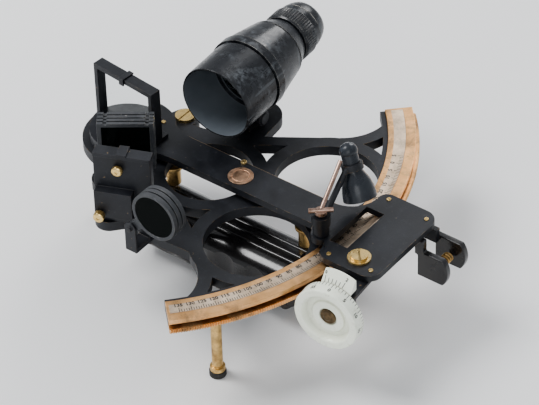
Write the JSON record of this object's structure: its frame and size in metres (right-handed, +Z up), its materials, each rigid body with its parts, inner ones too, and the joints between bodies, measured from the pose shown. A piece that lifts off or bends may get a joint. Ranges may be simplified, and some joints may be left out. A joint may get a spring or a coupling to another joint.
{
  "type": "nautical sextant",
  "caption": "Marine sextant lying face up on its legs: ringed black frame with brass limb, swinging index arm with drum micrometer and lamp, mirrors, hinged shades and a short wide telescope.",
  "frame": {"origin": "centre of the footprint on the surface that the legs stand on", "axes": "+X from the horizon mirror to the eyepiece, +Y from the limb to the index pivot, +Z up from the feet to the mirrors"},
  "size_m": [0.2368, 0.2464, 0.1183],
  "materials": {
    "black_enamel": "matte black crackle paint, rubbed along the edges",
    "scope_enamel": "worn satin black paint with grey patches",
    "lamp_enamel": "satin blue-black paint",
    "limb_brass": "aged satin brass",
    "brass": "handled brass",
    "silver_scale": "brushed silver",
    "cell_steel": "bright",
    "foot_rubber": "matte",
    "bakelite": "polished black bakelite",
    "ivory": "satin ivory plastic with black figures",
    "mirror": "silvered",
    "lens_glass": "clear",
    "shade_glass": "dark smoked glass in a black rim"
  },
  "bodies": {
    "frame": {"frame_casting": "black_enamel", "limb_arc": "limb_brass", "scale_strip": "silver_scale", "limb_rack": "limb_brass", "limb_screws": "brass", "pivot_bearing": "brass", "pivot_cover": "black_enamel", "apex_screw": "brass", "support_legs": "brass", "leg_feet": "foot_rubber", "handle_grip": "bakelite", "handle_posts": "brass", "handle_screws": "brass", "battery": "cell_steel", "telescope_bracket": "black_enamel", "horizon_bracket": "black_enamel", "horizon_mirror": "mirror", "horizon_clip": "black_enamel", "horizon_shade_bracket": "black_enamel", "index_shade_bracket": "black_enamel"},
    "battery_cap": {"battery_cap": "brass"},
    "switch_button": {"switch_button": "bakelite"},
    "telescope_clamp": {"telescope_clamp_screw": "black_enamel"},
    "telescope": {"telescope_collar": "black_enamel", "telescope_hood": "scope_enamel", "telescope_body": "scope_enamel", "objective_lens": "lens_glass"},
    "eyepiece": {"eyepiece_tube": "scope_enamel", "eyepiece_lens": "lens_glass"},
    "horizon_knob_upper": {"horizon_knob_upper": "brass"},
    "horizon_knob_lower": {"horizon_knob_lower": "brass"},
    "horizon_shade_1": {"horizon_shade_1": "shade_glass"},
    "horizon_shade_2": {"horizon_shade_2": "shade_glass"},
    "horizon_shade_3": {"horizon_shade_3": "shade_glass"},
    "index_shade_1": {"index_shade_1": "shade_glass"},
    "index_shade_2": {"index_shade_2": "shade_glass"},
    "index_shade_3": {"index_shade_3": "shade_glass"},
    "index_shade_4": {"index_shade_4": "shade_glass"},
    "index_arm": {"index_arm": "black_enamel", "pivot_shaft": "brass", "arm_disc": "brass", "arm_screws": "brass", "index_mark": "silver_scale", "index_mirror_frame": "black_enamel", "index_mirror": "mirror", "index_mirror_clip": "black_enamel", "carriage_screw": "brass", "fixed_pad": "bakelite", "release_spring": "brass", "lamp_post": "black_enamel"},
    "lamp": {"lamp_arm": "black_enamel", "lamp_shade": "lamp_enamel", "lamp_cap": "lamp_enamel", "lamp_bulb": "lens_glass", "lamp_contact": "brass"},
    "worm_carriage": {"worm_carriage": "black_enamel", "release_pad": "bakelite", "vernier_plate": "ivory"},
    "drum": {"worm_shaft": "brass", "drum": "ivory"}
  },
  "joints": [
    {"name": "index_swing", "type": "hinge", "parent": "frame", "child": "index_arm", "pos_m": [0, 0.09125, 0.06], "axis": [0, 0, 1], "range_deg": [-30, 28]},
    {"name": "release_swing", "type": "hinge", "parent": "index_arm", "child": "worm_carriage", "pos_m": [-0.02, -0.08775, 0.06], "axis": [0, 0, 1], "range_deg": [-1.6, 0], "stiffness_Nm_per_rad": 8, "springref_deg": 1.72},
    {"name": "drum_spin", "type": "hinge", "parent": "worm_carriage", "child": "drum", "pos_m": [0.01551, -0.08607, 0.052], "axis": [0.9962, 0.0872, 0], "continuous": true},
    {"name": "lamp_swing", "type": "hinge", "parent": "index_arm", "child": "lamp", "pos_m": [-0.015, -0.05775, 0.077], "axis": [0, 0, 1], "range_deg": [-35, 35]},
    {"name": "index_shade_1_fold", "type": "hinge", "parent": "frame", "child": "index_shade_1", "pos_m": [-0.03884, 0.0835, 0.0646], "axis": [-0.81, -0.5864, 0], "range_deg": [0, 100]},
    {"name": "index_shade_2_fold", "type": "hinge", "parent": "frame", "child": "index_shade_2", "pos_m": [-0.03884, 0.0835, 0.0646], "axis": [-0.81, -0.5864, 0], "range_deg": [0, 100]},
    {"name": "index_shade_3_fold", "type": "hinge", "parent": "frame", "child": "index_shade_3", "pos_m": [-0.03884, 0.0835, 0.0646], "axis": [-0.81, -0.5864, 0], "range_deg": [0, 100]},
    {"name": "index_shade_4_fold", "type": "hinge", "parent": "frame", "child": "index_shade_4", "pos_m": [-0.03884, 0.0835, 0.0646], "axis": [-0.81, -0.5864, 0], "range_deg": [0, 100]},
    {"name": "horizon_shade_1_fold", "type": "hinge", "parent": "frame", "child": "horizon_shade_1", "pos_m": [-0.0753, 0.02675, 0.075], "axis": [1, 0, 0], "range_deg": [-71, 0]},
    {"name": "horizon_shade_2_fold", "type": "hinge", "parent": "frame", "child": "horizon_shade_2", "pos_m": [-0.0753, 0.02675, 0.075], "axis": [1, 0, 0], "range_deg": [-71, 0]},
    {"name": "horizon_shade_3_fold", "type": "hinge", "parent": "frame", "child": "horizon_shade_3", "pos_m": [-0.0753, 0.02675, 0.075], "axis": [1, 0, 0], "range_deg": [-71, 0]},
    {"name": "horizon_knob_upper_turn", "type": "hinge", "parent": "frame", "child": "horizon_knob_upper", "pos_m": [-0.06391, 0.0491, 0.095], "axis": [0.9239, 0.3827, 0], "continuous": true},
    {"name": "horizon_knob_lower_turn", "type": "hinge", "parent": "frame", "child": "horizon_knob_lower", "pos_m": [-0.07347, 0.05651, 0.065], "axis": [0.9239, 0.3827, 0], "continuous": true},
    {"name": "telescope_rise", "type": "slide", "parent": "frame", "child": "telescope", "axis": [0, 0, 1], "range_m": [0, 0.006]},
    {"name": "eyepiece_focus", "type": "slide", "parent": "telescope", "child": "eyepiece", "axis": [0.9986, 0.0523, 0], "range_m": [0, 0.006]},
    {"name": "telescope_clamp_turn", "type": "hinge", "parent": "frame", "child": "telescope_clamp", "pos_m": [0.05215, 0.03204, 0.065], "axis": [0, 1, 0], "continuous": true},
    {"name": "battery_cap_turn", "type": "hinge", "parent": "frame", "child": "battery_cap", "pos_m": [-0.012, -0.04275, 0.022], "axis": [0, -1, 0], "continuous": true},
    {"name": "switch_press", "type": "slide", "parent": "frame", "child": "switch_button", "axis": [-1, 0, 0], "range_m": [0, 0.0015], "stiffness_N_per_m": 300}
  ]
}
